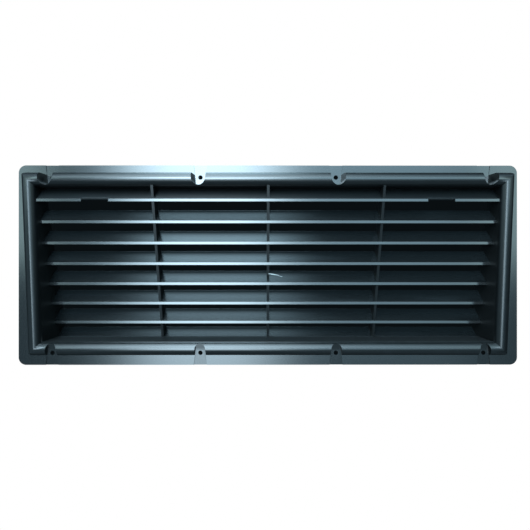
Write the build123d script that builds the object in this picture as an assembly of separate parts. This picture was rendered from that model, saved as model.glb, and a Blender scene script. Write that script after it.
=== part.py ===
from build123d import *
import os
from math import atan2, ceil, cos, degrees, radians, sin, tan

# A louvred ventilation grille, moulded in one piece, in millimetres. Its flange lies
# against the wall, which is the plane Y = 0. The front faces -Y, and the sleeve round the
# blades reaches into the wall towards +Y. The origin is the middle of the opening, +X is
# to the right as seen from the front, and +Z is up.

# Flange
WIDTH = 500.0            # overall, along X
HEIGHT = 200.0           # overall, along Z
CORNER_R = 7.5           # outer corners
SHEET = 2.5              # thickness
LIP = 9.5                # flat margin outside the bezel

# Bezel, a hollow half-round moulding that stands out further at the top
BEZEL = 13.5             # width
BEZEL_TOP = 17.75        # from the flange's front to the crest at the top
BEZEL_BOTTOM = 4.75      # the same at the bottom
BEZEL_CORNER_R = 6.0     # outer corners, where it stands on the flange
WALL = 2.0               # wall of the bezel and of the sleeve

# Sleeve, the box round the blades
SLEEVE_CORNER_R = 2.5
SLEEVE_LIP = 1.0         # how far the sleeve runs past the blades

# Blades
BLADE = 2.0              # thickness
BLADE_ANGLE = 45.0       # rise towards the back
BLADE_REACH = 26.0       # from the front edge to the rear edge, along Y
PITCH = 20.75
FIRST_DROP = 13.6        # from the top of the opening to the first front edge
FIRST_RISE = 10.8        # from the flange's front to the first front edge
RAKE = 17.6              # slope of the plane that holds the front edges
ARRIS = 0.35             # rounding of the blades' long edges

# Ribs, evenly spaced across the opening
RIB_COUNT = 3
RIB = 2.5                # thickness
RIB_SETBACK = 1.0        # from the blades' edges to the ribs' edges
RIB_SEAT = 1.5           # how far the ribs run into the walls

# Notches in the front edge of the first blade
NOTCH = 26.7             # length along X
NOTCH_END = 56.8         # from the end of the opening to a notch's middle
NOTCH_DEPTH = 1.0        # from the front edge, on the blade's upper face

# Screw recesses, cut down through the bezel and open at the edge of the flange
RECESS = 9.2             # width of the floor at its round inner end
RECESS_INNER_X = 68.0    # from the middle to the inner recesses
RECESS_END_X = 33.7      # from the ends of the flange to the outer recesses
RECESS_SPREAD = 6.4      # how much each side turns outwards along the floor
RECESS_DRAFT = 7.4       # how much each side leans outwards towards the front
RECESS_SINK = 0.4        # from the flange's front down to the floor at the screw
RECESS_FALL = 1.9        # slope of the floor from the screw to the edge
RECESS_FLAT = 0.6        # from the screw hole to where the floor starts to climb
RECESS_CLIMB = 8.0       # slope of the floor from there to the inner end
RECESS_END_WALL = 1.2    # what the round end leaves of the bezel's inner wall
RECESS_WALL = 1.8        # round the sides, inside the bezel
SCREW_EDGE = 12.0        # from the edge of the flange to the screws
SCREW_R = 2.25

# Chip in the front edge of the middle rib
CHIP_BLADE = 5           # the blade below it
CHIP_RISE = 3.6          # from that blade's front edge to the chip
CHIP = 7.0               # height
CHIP_DEPTH = 1.8

BEZEL_R = BEZEL / 2
HOLLOW_R = BEZEL_R - WALL
LEAN = atan2(BEZEL_TOP - BEZEL_BOTTOM, HEIGHT - 2 * LIP - BEZEL)   # of the plane under the half-round
MID_Y = BEZEL_R - SHEET - (BEZEL_TOP + BEZEL_BOTTOM) / 2           # that plane at the middle
OPEN_W = WIDTH - 2 * (LIP + BEZEL)
OPEN_H = HEIGHT - 2 * (LIP + BEZEL * cos(LEAN))
SLEEVE_W = OPEN_W + 2 * WALL
SLEEVE_H = OPEN_H + 2 * WALL * cos(LEAN)
FIRST_Z = OPEN_H / 2 - FIRST_DROP
BLADE_COUNT = 1 + ceil((OPEN_H - FIRST_DROP) / PITCH)
BLADE_RISE = BLADE_REACH * tan(radians(BLADE_ANGLE))
EDGE_HALF = BLADE / cos(radians(BLADE_ANGLE)) / 2   # half the height of a blade's edge
RECESS_END = OPEN_H / 2 + RECESS_END_WALL           # round end of a top recess
SCREW_Z = HEIGHT / 2 - SCREW_EDGE
FRONT = -2 * (SHEET + BEZEL_TOP)                    # well in front of the bezel
FAR = 10.0                                          # overshoot of the cutting solids


def front_edge(z):
    """Depth of the plane through the blades' front edges, at height z."""
    return (FIRST_Z - z) * tan(radians(RAKE)) - SHEET - FIRST_RISE


def rear_edge(z):
    """Depth of the plane through the blades' rear edges, at height z."""
    return front_edge(z - BLADE_RISE) + BLADE_REACH


def side_prism(points, width, round_r=0.0):
    """A prism along X, centred, from (y, z) points."""
    outline = Plane.YZ * Polyline(*points, close=True)
    section = make_face(outline)
    if round_r:
        section = fillet(section.vertices(), round_r)
    return extrude(section, width / 2, both=True)


def at_depth(y):
    """The plane at depth y that X and Z sketches are drawn on."""
    return Plane(origin=(0, y, 0), x_dir=(1, 0, 0), z_dir=(0, -1, 0))


def upright_prism(sketch, front, back):
    """A sketch drawn in X and Z, extruded along Y between two depths."""
    return extrude(at_depth(back) * sketch, back - front)


def leaned(solid):
    """Moves a solid from the plane Y = 0 to the leaning plane under the half-round."""
    return Pos(0, MID_Y, 0) * Rot(degrees(LEAN), 0, 0) * solid


def half_round_ring(radius):
    """A half-round bar round the opening, standing on the leaning plane, with mitred corners."""
    half_w = WIDTH / 2 - LIP - BEZEL_R
    half_h = (HEIGHT / 2 - LIP) / cos(LEAN) - BEZEL_R
    corners = [(half_w, 0, -half_h), (half_w, 0, half_h), (-half_w, 0, half_h), (-half_w, 0, -half_h)]
    path = Polyline((0, 0, -half_h), *corners, close=True)
    start = Plane(origin=(0, 0, -half_h), x_dir=(0, 0, 1), z_dir=(1, 0, 0))
    section = Circle(radius) & Pos(0, radius) * Rectangle(4 * radius, 2 * radius)
    return leaned(sweep(start * section, path=path, transition=Transition.RIGHT))


def behind_round(sketch, back):
    """A sketch drawn in X and Z, extruded from the leaning plane to a depth."""
    keep = leaned(Pos(0, WIDTH / 2, 0) * Box(2 * WIDTH, WIDTH, 2 * WIDTH))
    return upright_prism(sketch, FRONT, back) & keep


def recess_outline(half_width, grow=0.0):
    """A top recess from above: a round inner end, and sides that spread past the edge."""
    spread = radians(RECESS_SPREAD)
    radius = half_width + grow
    middle = RECESS_END + half_width
    side = (radius * cos(spread), middle - radius * sin(spread))
    outside = HEIGHT / 2 + FAR
    corner = (side[0] + (outside - side[1]) * tan(spread), outside)
    return make_face([
        ThreePointArc((-side[0], side[1]), (0, middle - radius), side),
        Line(side, corner), Line(corner, (-corner[0], outside)),
        Line((-corner[0], outside), (-side[0], side[1]))])


def recess_shaft(back, grow=0.0):
    """A top recess from the front to a depth, its sides leaning outwards to the front."""
    floor = RECESS_SINK - SHEET
    widths = [RECESS / 2 + (floor - y) * tan(radians(RECESS_DRAFT)) for y in (back, FRONT)]
    return loft([at_depth(back) * recess_outline(widths[0], grow),
                 at_depth(FRONT) * recess_outline(widths[1], grow)], ruled=True)


def at_recesses(solid):
    """Copies of a top recess's solid at all eight recesses."""
    outer_x = WIDTH / 2 - RECESS_END_X
    return [Pos(x, 0, 0) * Rot(0, turn, 0) * solid
            for x in (-outer_x, -RECESS_INNER_X, RECESS_INNER_X, outer_x) for turn in (0, 180)]


def bezel():
    """Flange and bezel, hollow from behind, with a wall round each recess."""
    plate = upright_prism(RectangleRounded(WIDTH, HEIGHT, CORNER_R) - Rectangle(OPEN_W, OPEN_H), -SHEET, 0)
    outline = RectangleRounded(WIDTH - 2 * LIP, HEIGHT - 2 * LIP, BEZEL_CORNER_R)
    legs = behind_round(outline - Rectangle(OPEN_W, OPEN_H), 0)
    outer = legs + (half_round_ring(BEZEL_R) & upright_prism(outline, FRONT, 0))
    inside_w = WIDTH - 2 * (LIP + WALL)
    inside_h = HEIGHT - 2 * (LIP + WALL * cos(LEAN))
    inside = RectangleRounded(inside_w, inside_h, BEZEL_CORNER_R - WALL)
    gap = behind_round(inside - RectangleRounded(SLEEVE_W, SLEEVE_H, SLEEVE_CORNER_R), FAR)
    hollow = gap + (half_round_ring(HOLLOW_R) & upright_prism(inside, FRONT, FAR))
    return plate + outer - (hollow - at_recesses(recess_shaft(FAR, RECESS_WALL)))


def recess_cut():
    """What is cut out for a top recess: the space over its floor, and the screw hole."""
    top, low = HEIGHT / 2 + 2 * FAR, RECESS_END - FAR
    floor = RECESS_SINK - SHEET
    turn = SCREW_Z - SCREW_R - RECESS_FLAT
    over_floor = side_prism(
        [(2 * FRONT, low), (floor - (turn - low) * tan(radians(RECESS_CLIMB)), low), (floor, turn),
         (floor + (top - turn) * tan(radians(RECESS_FALL)), top), (2 * FRONT, top)], 8 * RECESS)
    screw = upright_prism(Pos(0, SCREW_Z) * Circle(SCREW_R), FRONT, FAR)
    return (recess_shaft(FAR) & over_floor) + screw


def sleeve():
    """The four walls round the blades, cut off behind along the rake."""
    top = SLEEVE_H / 2
    outline = RectangleRounded(SLEEVE_W, SLEEVE_H, SLEEVE_CORNER_R) - Rectangle(OPEN_W, OPEN_H)
    rake = side_prism(
        [(0, -top), (rear_edge(-top) + SLEEVE_LIP, -top), (rear_edge(top) + SLEEVE_LIP, top), (0, top)],
        WIDTH)
    return upright_prism(outline, 0, rear_edge(-top) + SLEEVE_LIP) & rake


def blade(index):
    """One blade, from wall to wall, counted from 1 at the top."""
    z = FIRST_Z - (index - 1) * PITCH
    y = front_edge(z)
    section = [(y, z - EDGE_HALF), (y, z + EDGE_HALF),
               (y + BLADE_REACH, z + BLADE_RISE + EDGE_HALF),
               (y + BLADE_REACH, z + BLADE_RISE - EDGE_HALF)]
    space = Pos(0, y, 0) * Box(OPEN_W + WALL, 4 * BLADE_REACH, OPEN_H + WALL)
    return side_prism(section, OPEN_W + WALL, ARRIS) & space


def notches():
    """Square cuts in the front edge of the first blade, one towards each end."""
    edge = Plane(origin=(0, front_edge(FIRST_Z) + NOTCH_DEPTH, FIRST_Z + EDGE_HALF + NOTCH_DEPTH),
                 x_dir=(1, 0, 0), z_dir=(0, -sin(radians(BLADE_ANGLE)), cos(radians(BLADE_ANGLE))))
    cut = edge * Pos(0, -FAR / 2, 0) * Box(NOTCH, FAR, 2 * FAR)
    x = OPEN_W / 2 - NOTCH_END
    return [Pos(-x, 0, 0) * cut, Pos(x, 0, 0) * cut]


def rib():
    """An upright rib across the blades, its edges set back from theirs."""
    top = OPEN_H / 2 + RIB_SEAT
    section = [(front_edge(top) + RIB_SETBACK, top), (front_edge(-top) + RIB_SETBACK, -top),
               (rear_edge(-top) - RIB_SETBACK, -top), (rear_edge(top) - RIB_SETBACK, top)]
    return side_prism(section, RIB)


def chip():
    """The piece broken out of the middle rib's front edge."""
    low = FIRST_Z - (CHIP_BLADE - 1) * PITCH + CHIP_RISE
    high = low + CHIP
    return side_prism(
        [(front_edge(low) - FAR, low), (front_edge(low) + RIB_SETBACK, low),
         (front_edge(low) + RIB_SETBACK + CHIP_DEPTH, low + CHIP / 3),
         (front_edge(high) + RIB_SETBACK, high), (front_edge(high) - FAR, high)], 2 * RIB)


def grille():
    """The whole moulding."""
    blades = [blade(index) for index in range(1, BLADE_COUNT + 1)]
    blades[0] -= notches()
    spacing = OPEN_W / (RIB_COUNT + 1)
    ribs = [Pos((i - (RIB_COUNT - 1) / 2) * spacing, 0, 0) * rib() for i in range(RIB_COUNT)]
    ribs[RIB_COUNT // 2] -= chip()
    return bezel() + sleeve() + blades + ribs - at_recesses(recess_cut())


os.makedirs("parts", exist_ok=True)
export_step(grille(), "parts/louvre_grille.step")
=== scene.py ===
import math

import bmesh
import bpy
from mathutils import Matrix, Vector


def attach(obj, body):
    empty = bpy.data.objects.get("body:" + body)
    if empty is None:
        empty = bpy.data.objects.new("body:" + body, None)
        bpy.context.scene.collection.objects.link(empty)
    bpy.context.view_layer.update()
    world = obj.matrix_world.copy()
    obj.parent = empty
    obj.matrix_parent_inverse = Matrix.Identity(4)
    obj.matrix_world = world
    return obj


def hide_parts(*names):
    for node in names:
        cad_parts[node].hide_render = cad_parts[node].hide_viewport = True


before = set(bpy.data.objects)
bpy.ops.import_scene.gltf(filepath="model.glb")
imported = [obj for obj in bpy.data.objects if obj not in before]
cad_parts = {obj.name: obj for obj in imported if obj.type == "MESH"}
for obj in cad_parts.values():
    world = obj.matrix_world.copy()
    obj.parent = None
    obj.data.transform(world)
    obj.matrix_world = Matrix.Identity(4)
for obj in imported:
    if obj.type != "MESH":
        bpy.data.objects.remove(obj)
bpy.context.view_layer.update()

MM = 0.001

# Camera, fitted to the photograph
IMAGE = 530                             # side of the square image, in pixels
FOCAL_PX = 460.0
SENSOR = 36.0
EYE = (-4.3 * MM, -464.1 * MM, -0.3 * MM)
EYE_TURN = -0.14                        # degrees, about Z
EYE_TILT = 0.05                         # degrees, upwards

# Light, as soft panels round the camera. Side is the angle to the right of the camera's
# axis and rise is the angle above it, over the camera, both in degrees and as seen from
# the grille. Each row has four borders, lowest side, highest side, lowest rise and highest
# rise, each with its softness, and then the radiance and the colour.
COOL = (0.62, 1.0, 1.22)
PALE = (0.76, 1.0, 1.15)
GREENISH = (0.68, 1.0, 1.04)
PANELS = {
    "tall strip": ((-15.2, 9.0), (0.9, 10.0), (-4.0, 80.0), (70.0, 100.0), 17.5, PALE),
    "overhead": ((-14.0, 8.0), (3.0, 9.0), (85.0, 20.0), (122.0, 40.0), 8.5, COOL),
    "wide panel": ((-19.5, 8.0), (24.5, 10.0), (-3.0, 40.0), (60.0, 60.0), 2.9, COOL),
    "left panel": ((-35.0, 4.0), (-25.0, 4.0), (0.5, 4.0), (45.0, 20.0), 3.4, GREENISH),
    "right panel": ((25.0, 4.0), (35.0, 4.0), (0.0, 7.0), (45.0, 20.0), 3.1, GREENISH),
    "far left": ((-70.0, 15.0), (-37.0, 4.0), (0.5, 8.0), (45.0, 20.0), 1.4, GREENISH),
    "far right": ((37.0, 4.0), (70.0, 15.0), (0.5, 8.0), (45.0, 20.0), 0.8, GREENISH),
    "ceiling": ((-90.0, 1.0), (90.0, 1.0), (20.0, 60.0), (80.0, 40.0), 0.3, COOL),
    "room": ((-91.0, 1.0), (45.0, 30.0), (-95.0, 40.0), (80.0, 40.0), 0.26, COOL),
    "dim": ((-91.0, 1.0), (91.0, 1.0), (-200.0, 1.0), (200.0, 1.0), 0.02, COOL),
}

# Stage: a white sweep, in metres, and camera-only cards of painted shade in and behind the grille,
# in millimetres
SWEEP_FLOOR, SWEEP_TOP = -0.8, 4.0
SWEEP_NEAR, SWEEP_WALL, SWEEP_HALF = -2.5, 3.0, 5.0
SWEEP_BEND, SWEEP_STEPS = 1.0, 12
# painted shade: the even dark tone of the camera-only cards behind the opening and the screw holes
PAINTED_SHADE_TONE = (0.0030, 0.0046, 0.0056)
CARD_INSET = 0.5                        # from the sleeve's end to the card inside it
SCREW_X, SCREW_Z = (-216.3, -68.0, 68.0, 216.3), (-88.0, 88.0)
# discs of painted shade behind the screw holes: radius, depth behind the flange and sides
DISC, DISC_Y, DISC_SIDES = 3.2, 0.3, 16

# The plastic
BLACK = (0.0030, 0.0036, 0.0040, 1.0)
# the painted shade that darkens the blades' faces towards their rear edges
PAINTED_SHADE_BLACK = (0.007, 0.009, 0.010, 1.0)
DUST = (0.30, 0.36, 0.40, 1.0)
PALE_GREY = (0.36, 0.37, 0.37, 1.0)
GRAIN_SCALE, GRAIN_DETAIL = 700.0, 3.0
GRAIN_DEPTH = 0.1                       # in mm
DUST_SCALE, DUST_DETAIL = 60.0, 6.0
DUST_LEVEL, DUST_SOFTNESS = 0.62, 0.2
ALONG_X = (0.12, 1.0, 1.0)              # scale of a pattern drawn out along the blades
SHADE_FRONT, SHADE_REAR = 1.0, 2.5        # painted shade on a blade's face grows from the first, behind its front edge, to the second, before its rear edge, in mm
                                        # front edge, to the second, before its rear edge, in mm
POLISHED, FLAT, DRAWN, ROUGH, WHITE, SCUFFED = range(6)     # places in the mesh's list

# Sizes of the moulding in millimetres, as in the CAD model, except for the blades' reach
# and angle, the sleeve's depth and the chip, which follow the photograph
OPEN_W, OPEN_H = 454.0, 154.08
FIRST_Z, PITCH, COUNT = 63.44, 20.75, 8
FRONT_Y, RAKE = -13.3, math.radians(17.6)
BLADE, REACH, ANGLE = 2.4, 14.5, math.radians(40.0)
ARRIS, ARRIS_STEPS = 0.35, 4
EDGE_TILT = math.radians(5.0)           # of the blades' front edges, upwards
SLEEVE_LIP = 6.5                        # how far the sleeve runs past the blades
SEAT = 1.0                              # how far blades and ribs run into the walls
NOTCH, NOTCH_X, NOTCH_DEPTH = 26.7, 170.2, 1.0
RIB, RIB_X, RIB_SETBACK = 2.5, 113.5, 1.0
CHIP_LOW, CHIP, CHIP_DEPTH = -17.6, 8.6, 2.4
CHIP_PARTS = 9                          # it is deepest at the first of these, from below
SPLINTER_SIDES = 6
SPLINTER_LIFT = 0.6                     # how far it lies in front of the blades' front edges
WHITENED = "whitened"                   # marks its faces
# x, z and radius at four points along it
SPLINTER = ((0.6, -8.9, 0.40), (4.5, -9.4, 0.55), (9.2, -10.2, 0.28), (15.0, -12.2, 0.06))

# Cutting, shading and telling the faces apart
SHAVE = 0.02                            # what the cut takes off the opening's walls, in mm
CUT_AHEAD = 1.0                         # how far before the blades' front edges it starts
MERGE = 0.001                           # points closer than this are one, in mm
FAR = 200.0                             # past every border of the part, in mm
SHARP = 32.0                            # degrees, the least turn that stays a crease
SQUARE_ON, ALONG_BLADE = 0.99, 0.999    # cosines of the turns allowed from a direction
MARGIN = 0.1                            # round the opening, in mm


class Nodes:
    """A short way to add and join nodes."""

    def __init__(self, tree):
        self.tree = tree
        tree.nodes.clear()

    def add(self, kind, **settings):
        node = self.tree.nodes.new(kind)
        for name, value in settings.items():
            setattr(node, name, value)
        return node

    def join(self, source, target):
        self.tree.links.new(source, target)

    def set(self, socket, value):
        """Joins a socket to an output, or gives it a plain value."""
        if isinstance(value, bpy.types.NodeSocket):
            self.join(value, socket)
        else:
            socket.default_value = value

    def math(self, operation, *values):
        node = self.add("ShaderNodeMath", operation=operation)
        for socket, value in zip(node.inputs, values):
            self.set(socket, value)
        return node.outputs[0]

    def step(self, value, middle, softness):
        """From 0 to 1 round a middle value, over a width."""
        node = self.add("ShaderNodeMapRange", interpolation_type="SMOOTHSTEP")
        self.set(node.inputs["Value"], value)
        node.inputs["From Min"].default_value = middle - softness / 2
        node.inputs["From Max"].default_value = middle + softness / 2
        return node.outputs["Result"]

    def between(self, value, low, high):
        return self.math("SUBTRACT", self.step(value, *low), self.step(value, *high))

    def noise(self, place, scale, detail):
        node = self.add("ShaderNodeTexNoise")
        self.join(place, node.inputs["Vector"])
        node.inputs["Scale"].default_value = scale
        node.inputs["Detail"].default_value = detail
        return node.outputs[0]


def make_world():
    """Soft panels for the reflections, and white where the camera looks past everything."""
    world = bpy.data.worlds.new("studio")
    world.use_nodes = True
    bpy.context.scene.world = world
    nodes = Nodes(world.node_tree)
    direction = nodes.add("ShaderNodeSeparateXYZ")
    nodes.join(nodes.add("ShaderNodeTexCoord").outputs["Generated"], direction.inputs[0])
    x, y, z = direction.outputs
    side = nodes.math("DEGREES", nodes.math("ARCSINE", x))
    rise = nodes.math("DEGREES", nodes.math("ARCTAN2", z, nodes.math("MULTIPLY", y, -1.0)))
    total = (0.0, 0.0, 0.0)
    for side_low, side_high, rise_low, rise_high, radiance, colour in PANELS.values():
        inside = nodes.math("MULTIPLY", nodes.between(side, side_low, side_high),
                            nodes.between(rise, rise_low, rise_high))
        light = nodes.add("ShaderNodeVectorMath", operation="SCALE")
        light.inputs[0].default_value = [radiance * c for c in colour]
        nodes.join(inside, light.inputs["Scale"])
        add = nodes.add("ShaderNodeVectorMath", operation="ADD")
        nodes.join(light.outputs[0], add.inputs[0])
        nodes.set(add.inputs[1], total)
        total = add.outputs[0]
    lit = nodes.add("ShaderNodeBackground")
    nodes.join(total, lit.inputs["Color"])
    plain = nodes.add("ShaderNodeBackground")
    plain.inputs["Color"].default_value = (1.0, 1.0, 1.0, 1.0)
    pick = nodes.add("ShaderNodeMixShader")
    nodes.join(nodes.add("ShaderNodeLightPath").outputs["Is Camera Ray"], pick.inputs[0])
    nodes.join(lit.outputs[0], pick.inputs[1])
    nodes.join(plain.outputs[0], pick.inputs[2])
    nodes.join(pick.outputs[0], nodes.add("ShaderNodeOutputWorld").inputs["Surface"])


def make_camera():
    camera = bpy.data.objects.new("camera", bpy.data.cameras.new("camera"))
    camera.data.sensor_width = SENSOR
    camera.data.lens = SENSOR * FOCAL_PX / IMAGE
    camera.location = EYE
    camera.rotation_euler = (math.radians(90 + EYE_TILT), 0, math.radians(EYE_TURN))
    bpy.context.scene.collection.objects.link(camera)
    bpy.context.scene.camera = camera


def new_object(name, mesh):
    thing = bpy.data.objects.new(name, mesh)
    bpy.context.scene.collection.objects.link(thing)
    return thing


def stage_piece(name, points, faces, material):
    """A part of the studio that the camera alone sees."""
    mesh = bpy.data.meshes.new(name)
    mesh.from_pydata(points, [], faces)
    mesh.materials.append(material)
    mesh.shade_smooth()
    thing = new_object(name, mesh)
    thing.visible_glossy = thing.visible_diffuse = thing.visible_shadow = False


def glow_material(name, level, one_sided=False):
    """An even tone, and clear from behind if it is one-sided."""
    material = bpy.data.materials.new(name)
    material.use_nodes = True
    nodes = Nodes(material.node_tree)
    glow = nodes.add("ShaderNodeEmission")
    glow.inputs["Color"].default_value = (*level, 1.0)
    result = glow.outputs[0]
    if one_sided:
        pick = nodes.add("ShaderNodeMixShader")
        nodes.join(nodes.add("ShaderNodeNewGeometry").outputs["Backfacing"], pick.inputs[0])
        nodes.join(result, pick.inputs[1])
        nodes.join(nodes.add("ShaderNodeBsdfTransparent").outputs[0], pick.inputs[2])
        result = pick.outputs[0]
    nodes.join(result, nodes.add("ShaderNodeOutputMaterial").inputs["Surface"])
    return material


def make_stage():
    """A white sweep, and camera-only cards of painted shade behind the opening and the screw
    holes.
    """
    profile = [(SWEEP_NEAR, SWEEP_FLOOR)]
    for i in range(SWEEP_STEPS + 1):
        a = math.radians(90 * i / SWEEP_STEPS)
        profile.append((SWEEP_WALL - SWEEP_BEND + SWEEP_BEND * math.sin(a),
                        SWEEP_FLOOR + SWEEP_BEND - SWEEP_BEND * math.cos(a)))
    profile.append((SWEEP_WALL, SWEEP_TOP))
    points = [(x, y, z) for y, z in profile for x in (-SWEEP_HALF, SWEEP_HALF)]
    faces = [(2 * i, 2 * i + 1, 2 * i + 3, 2 * i + 2) for i in range(len(profile) - 1)]
    stage_piece("sweep", points, faces, glow_material("white_paper", (1.0, 1.0, 1.0)))

    points, faces = [], []
    for x, z in ((-1, -1), (1, -1), (1, 1), (-1, 1)):
        z *= OPEN_H / 2
        depth = rear_edge(z) + SLEEVE_LIP - CARD_INSET
        points.append((x * OPEN_W / 2 * MM, depth * MM, z * MM))
    faces.append((0, 1, 2, 3))
    for x in SCREW_X:
        for z in SCREW_Z:
            first = len(points)
            for i in range(DISC_SIDES):
                a = 2 * math.pi * i / DISC_SIDES
                points.append(((x + DISC * math.cos(a)) * MM, DISC_Y * MM,
                               (z + DISC * math.sin(a)) * MM))
            faces.append(tuple(range(first, first + DISC_SIDES)))
    stage_piece("painted_shade_cards", points, faces, glow_material("painted_shade_card", PAINTED_SHADE_TONE, one_sided=True))


def plastic(name, roughness, ior, anisotropy=0.0, streak=(1.0, 1.0, 1.0), grain=0.0, dust=0.0,
            colour=BLACK, rear_unshaded_share=1.0):
    """Moulded plastic. A drawn surface spreads the light up and down. Where the last argument is
    below 1, painted shade darkens the blades' faces towards their rear edges and leaves only that
    share of the gloss there."""
    material = bpy.data.materials.new(name)
    material.use_nodes = True
    nodes = Nodes(material.node_tree)
    shader = nodes.add("ShaderNodeBsdfPrincipled")
    shader.inputs["Roughness"].default_value = roughness
    shader.inputs["IOR"].default_value = ior
    shader.inputs["Base Color"].default_value = colour
    spot = nodes.add("ShaderNodeTexCoord").outputs["Object"]
    if grain or dust:
        place = nodes.add("ShaderNodeMapping")
        nodes.join(spot, place.inputs["Vector"])
        place.inputs["Scale"].default_value = streak
    if grain:
        fine = nodes.noise(place.outputs[0], GRAIN_SCALE, GRAIN_DETAIL)
        bump = nodes.add("ShaderNodeBump")
        bump.inputs["Strength"].default_value = grain
        bump.inputs["Distance"].default_value = GRAIN_DEPTH * MM
        nodes.join(fine, bump.inputs["Height"])
        nodes.join(bump.outputs[0], shader.inputs["Normal"])
    if dust:
        broad = nodes.noise(place.outputs[0], DUST_SCALE, DUST_DETAIL)
        amount = nodes.math("MULTIPLY", nodes.step(broad, DUST_LEVEL, DUST_SOFTNESS), dust)
        mix = nodes.add("ShaderNodeMix", data_type="RGBA")
        nodes.join(amount, mix.inputs["Factor"])
        mix.inputs["A"].default_value = colour
        mix.inputs["B"].default_value = DUST
        nodes.join(mix.outputs["Result"], shader.inputs["Base Color"])
    if anisotropy:
        shader.inputs["Anisotropic"].default_value = anisotropy
        upward = nodes.add("ShaderNodeCombineXYZ")
        upward.inputs["Z"].default_value = 1.0
        nodes.join(upward.outputs[0], shader.inputs["Tangent"])
    result = shader.outputs[0]
    if rear_unshaded_share < 1:
        result = painted_rear_shade(nodes, spot, result, rear_unshaded_share)
    nodes.join(result, nodes.add("ShaderNodeOutputMaterial").inputs["Surface"])
    return material


def painted_rear_shade(nodes, spot, glossy, rear_unshaded_share):
    """Painted shade under the blade above: the glossy finish turns to dull black with its depth
    behind the raked front.
    """
    depth = nodes.add("ShaderNodeVectorMath", operation="DOT_PRODUCT")
    nodes.join(spot, depth.inputs[0])
    depth.inputs[1].default_value = (0.0, 1 / MM, math.tan(RAKE) / MM)
    shade_amount = nodes.add("ShaderNodeMapRange")
    nodes.join(depth.outputs["Value"], shade_amount.inputs["Value"])
    front = FRONT_Y + FIRST_Z * math.tan(RAKE)
    rear = front + REACH * (1 + math.tan(ANGLE) * math.tan(RAKE))
    shade_amount.inputs["From Min"].default_value = front + SHADE_FRONT
    shade_amount.inputs["From Max"].default_value = rear - SHADE_REAR
    shade_amount.inputs["To Max"].default_value = 1.0 - rear_unshaded_share
    shade_black = nodes.add("ShaderNodeBsdfDiffuse")
    shade_black.inputs["Color"].default_value = PAINTED_SHADE_BLACK
    mix = nodes.add("ShaderNodeMixShader")
    nodes.join(shade_amount.outputs["Result"], mix.inputs[0])
    nodes.join(glossy, mix.inputs[1])
    nodes.join(shade_black.outputs[0], mix.inputs[2])
    return mix.outputs[0]


def front_edge(z):
    """Depth of the plane through the blades' front edges, at height z."""
    return (FIRST_Z - z) * math.tan(RAKE) + FRONT_Y


def rear_edge(z):
    """Depth of the plane through the blades' rear edges, at height z."""
    return front_edge(z - REACH * math.tan(ANGLE)) + REACH


def rounded(points, radius):
    """A closed outline of (y, z) points with its corners rounded."""
    result = []
    for i, point in enumerate(points):
        here = Vector(point)
        back = (Vector(points[i - 1]) - here).normalized()
        ahead = (Vector(points[(i + 1) % len(points)]) - here).normalized()
        half = back.angle(ahead) / 2
        middle = here + (back + ahead).normalized() * radius / math.sin(half)
        start = here + back * radius / math.tan(half) - middle
        end = here + ahead * radius / math.tan(half) - middle
        for k in range(ARRIS_STEPS + 1):
            result.append(tuple(middle + start.lerp(end, k / ARRIS_STEPS).normalized() * radius))
    return result


def above(points, low):
    """The part of a closed outline of (y, z) points above a height."""
    result = []
    for i, (y, z) in enumerate(points):
        y0, z0 = points[i - 1]
        if (z > low) != (z0 > low):
            result.append((y0 + (y - y0) * (low - z0) / (z - z0), low))
        if z > low:
            result.append((y, z))
    return result


def prism_mesh(name, pieces):
    """A mesh of prisms along X, each given as its (y, z) outline, first x and last x."""
    points, faces = [], []
    for outline, x0, x1 in pieces:
        first, count = len(points), len(outline)
        points += [(x * MM, y * MM, z * MM) for x in (x0, x1) for y, z in outline]
        faces += [tuple(range(first, first + count)),
                  tuple(range(first + 2 * count - 1, first + count - 1, -1))]
        for i in range(count):
            j = (i + 1) % count
            faces.append((first + i, first + count + i, first + count + j, first + j))
    mesh = bpy.data.meshes.new(name)
    mesh.from_pydata(points, [], faces)
    work = bmesh.new()
    work.from_mesh(mesh)
    bmesh.ops.recalc_face_normals(work, faces=work.faces)
    work.to_mesh(mesh)
    work.free()
    return mesh


def blade_outline(y, z, notched=False):
    """Section of a blade from the middle of its front edge, which a notch cuts off square."""
    half = BLADE / math.cos(ANGLE) / 2
    rise = math.tan(ANGLE)
    lean = half * math.tan(EDGE_TILT)
    front = [(y - lean, z - half - lean * rise), (y + lean, z + half + lean * rise)]
    if notched:
        corner = (y + NOTCH_DEPTH, z + half + NOTCH_DEPTH * rise)
        front = [(corner[0] + BLADE * math.sin(ANGLE), corner[1] - BLADE * math.cos(ANGLE)),
                 corner]
    return rounded(front + [(y + REACH, z + half + REACH * rise),
                            (y + REACH, z - half + REACH * rise)], ARRIS)


def rib_outline(chips=()):
    top = OPEN_H / 2 + SEAT
    return [(front_edge(-top) + RIB_SETBACK, -top), *chips, (front_edge(top) + RIB_SETBACK, top),
            (rear_edge(top) - RIB_SETBACK, top), (rear_edge(-top) - RIB_SETBACK, -top)]


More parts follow.
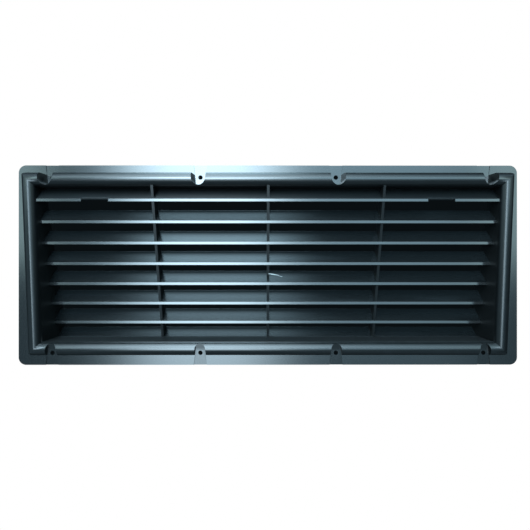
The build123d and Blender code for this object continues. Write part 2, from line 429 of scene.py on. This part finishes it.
def repeated(name, mesh, material, count, start, offset):
    """Copies of a mesh along a line, made by Geometry Nodes and returned as a plain mesh."""
    tree = bpy.data.node_groups.new(name, "GeometryNodeTree")
    face = tree.interface
    face.new_socket("Geometry", in_out="INPUT", socket_type="NodeSocketGeometry")
    values = {"Count": count, "Start": start, "Offset": offset}
    kinds = {"Count": "NodeSocketInt", "Start": "NodeSocketVector", "Offset": "NodeSocketVector"}
    sockets = {key: face.new_socket(key, in_out="INPUT", socket_type=kinds[key]) for key in values}
    face.new_socket("Geometry", in_out="OUTPUT", socket_type="NodeSocketGeometry")
    nodes = Nodes(tree)
    given = nodes.add("NodeGroupInput")
    line = nodes.add("GeometryNodeMeshLine", mode="OFFSET", count_mode="TOTAL")
    nodes.join(given.outputs["Count"], line.inputs["Count"])
    nodes.join(given.outputs["Start"], line.inputs["Start Location"])
    nodes.join(given.outputs["Offset"], line.inputs["Offset"])
    copies = nodes.add("GeometryNodeInstanceOnPoints")
    nodes.join(line.outputs["Mesh"], copies.inputs["Points"])
    nodes.join(given.outputs["Geometry"], copies.inputs["Instance"])
    real = nodes.add("GeometryNodeRealizeInstances")
    nodes.join(copies.outputs[0], real.inputs[0])
    paint = nodes.add("GeometryNodeSetMaterial")
    paint.inputs["Material"].default_value = material
    nodes.join(real.outputs[0], paint.inputs["Geometry"])
    nodes.join(paint.outputs[0], nodes.add("NodeGroupOutput").inputs["Geometry"])
    thing = new_object(name, mesh)
    modifier = thing.modifiers.new(name, "NODES")
    modifier.node_group = tree
    for key, value in values.items():
        modifier[sockets[key].identifier] = value
    return plain_mesh(thing)


def plain_mesh(thing):
    """The evaluated mesh of an object, which is then removed."""
    bpy.context.view_layer.update()
    graph = bpy.context.evaluated_depsgraph_get()
    mesh = bpy.data.meshes.new_from_object(thing.evaluated_get(graph))
    thing.modifiers.clear()
    bpy.data.objects.remove(thing)
    return mesh


def shell():
    """The CAD node's flange, bezel and sleeve: its blades and the sleeve's end are cut away."""
    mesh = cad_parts["louvre_grille"].data.copy()
    for name in [a.name for a in mesh.attributes if "normal" in a.name]:
        mesh.attributes.remove(mesh.attributes[name])
    work = bmesh.new()
    work.from_mesh(mesh)
    bmesh.ops.remove_doubles(work, verts=work.verts, dist=MERGE * MM)
    work.to_mesh(mesh)
    work.free()
    thing = new_object("shell", mesh)
    high, wide = OPEN_H / 2 + SHAVE, OPEN_W / 2 + SHAVE
    inner = [(front_edge(z) - CUT_AHEAD, z) for z in (-high, high)]
    inner += [(FAR, high), (FAR, -high)]
    behind = [(rear_edge(z) + SLEEVE_LIP, z) for z in (-FAR, FAR)]
    behind += [(2 * FAR, FAR), (2 * FAR, -FAR)]
    cutters = []
    for outline, half in ((inner, wide), (behind, 2 * FAR)):
        cutter = new_object("cutter", prism_mesh("cutter", [(outline, -half, half)]))
        cut = thing.modifiers.new("cut", "BOOLEAN")
        cut.operation, cut.solver, cut.object = "DIFFERENCE", "EXACT", cutter
        cutters.append(cutter)
    mesh = plain_mesh(thing)
    for cutter in cutters:
        bpy.data.objects.remove(cutter)
    return mesh


def splinter_mesh():
    """The whitened splinter that the chip left on the middle rib."""
    points, faces, sides = [], [], SPLINTER_SIDES
    for x, z, radius in SPLINTER:
        middle = front_edge(z) - SPLINTER_LIFT
        for i in range(sides):
            a = 2 * math.pi * i / sides
            points.append((x * MM, (middle + radius * math.cos(a)) * MM,
                           (z + radius * math.sin(a)) * MM))
    for first in range(0, len(points) - sides, sides):
        faces += [(first + i, first + (i + 1) % sides, first + sides + (i + 1) % sides,
                   first + sides + i) for i in range(sides)]
    faces += [tuple(range(sides - 1, -1, -1)), tuple(range(len(points) - sides, len(points)))]
    mesh = bpy.data.meshes.new("splinter")
    mesh.from_pydata(points, [], faces)
    marks = mesh.attributes.new(WHITENED, "BOOLEAN", "FACE")
    marks.data.foreach_set("value", [True] * len(faces))
    return mesh


def blades(material):
    """The first blade with its two notches, the last, cut off by the sleeve's floor, and
    those between them."""
    half = OPEN_W / 2 + SEAT
    notched = blade_outline(FRONT_Y, FIRST_Z, notched=True)
    whole = blade_outline(FRONT_Y, FIRST_Z)
    ends = [-half, -NOTCH_X - NOTCH / 2, -NOTCH_X + NOTCH / 2,
            NOTCH_X - NOTCH / 2, NOTCH_X + NOTCH / 2, half]
    first = prism_mesh("first_blade", [(notched if i % 2 else whole, ends[i], ends[i + 1])
                                       for i in range(len(ends) - 1)])
    last_z = FIRST_Z - (COUNT - 1) * PITCH
    cut_off = above(blade_outline(front_edge(last_z), last_z), -OPEN_H / 2 - SEAT)
    last = prism_mesh("last_blade", [(cut_off, -half, half)])
    one = prism_mesh("blade", [(whole, -half, half)])
    step = (0.0, PITCH * math.tan(RAKE) * MM, -PITCH * MM)
    return [first, last, repeated("blades", one, material, COUNT - 2, step, step)]


def ribs(material):
    """The two outer ribs, and the middle one with its chip."""
    one = prism_mesh("rib", [(rib_outline(), -RIB / 2, RIB / 2)])
    outer = repeated("ribs", one, material, 2, (-RIB_X * MM, 0, 0), (2 * RIB_X * MM, 0, 0))
    low, high = CHIP_LOW, CHIP_LOW + CHIP
    chip = [(front_edge(low) + RIB_SETBACK, low),
            (front_edge(low) + RIB_SETBACK + CHIP_DEPTH, low + CHIP / CHIP_PARTS),
            (front_edge(high) + RIB_SETBACK, high)]
    return [outer, prism_mesh("middle_rib", [(rib_outline(chip), -RIB / 2, RIB / 2)])]


def finish_of(face, whitened):
    """The place of a face's finish in the list of materials."""
    if whitened:
        return WHITE
    inside = (abs(face.center.x) < (OPEN_W / 2 + MARGIN) * MM
              and abs(face.center.z) < (OPEN_H / 2 + MARGIN) * MM)
    if inside and max(abs(face.normal.x), abs(face.normal.z)) > SQUARE_ON:
        return ROUGH
    if face.normal.dot(Vector((0, -math.sin(ANGLE), math.cos(ANGLE)))) > ALONG_BLADE:
        return SCUFFED if face.center.z > FIRST_Z * MM else DRAWN
    return FLAT if face.normal.y < -SQUARE_ON else POLISHED


def make_moulding(materials):
    """The moulding, in place of the CAD node, from closed shells that run into each other."""
    first = materials[POLISHED]
    work = bmesh.new()
    for part in [shell(), *blades(first), *ribs(first), splinter_mesh()]:
        work.from_mesh(part)
    mesh = bpy.data.meshes.new("moulding")
    work.to_mesh(mesh)
    work.free()
    for material in materials:
        mesh.materials.append(material)
    whitened = mesh.attributes[WHITENED].data
    for face in mesh.polygons:
        face.material_index = finish_of(face, whitened[face.index].value)
    mesh.shade_smooth()
    mesh.set_sharp_from_angle(angle=math.radians(SHARP))
    piece = new_object("moulding", mesh)
    weigh = piece.modifiers.new("weigh", "WEIGHTED_NORMAL")
    weigh.keep_sharp = True
    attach(piece, "root")
    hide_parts("louvre_grille")


make_camera()
make_world()
make_stage()
make_moulding([
    plastic("polished_plastic", 0.28, 1.52, grain=0.03, dust=0.004),
    plastic("flat_plastic", 0.15, 1.7, streak=(0.3, 1.0, 1.0), grain=0.02, dust=0.004),
    # the blades' faces carry painted shade towards their rear edges, less on the first blade's
    # face
    plastic("drawn_plastic_painted_shade", 0.24, 1.55, 0.9, ALONG_X, grain=0.10, dust=0.02, rear_unshaded_share=0.03),
    plastic("rough_plastic", 0.5, 1.45, grain=0.1),
    plastic("whitened_plastic", 0.5, 1.45, colour=PALE_GREY),
    plastic("scuffed_plastic_painted_shade", 0.31, 1.48, 1.0, ALONG_X, grain=0.10, dust=0.02, rear_unshaded_share=0.12),
])

view = bpy.context.scene.view_settings
view.view_transform = "Standard"
view.look = "None"
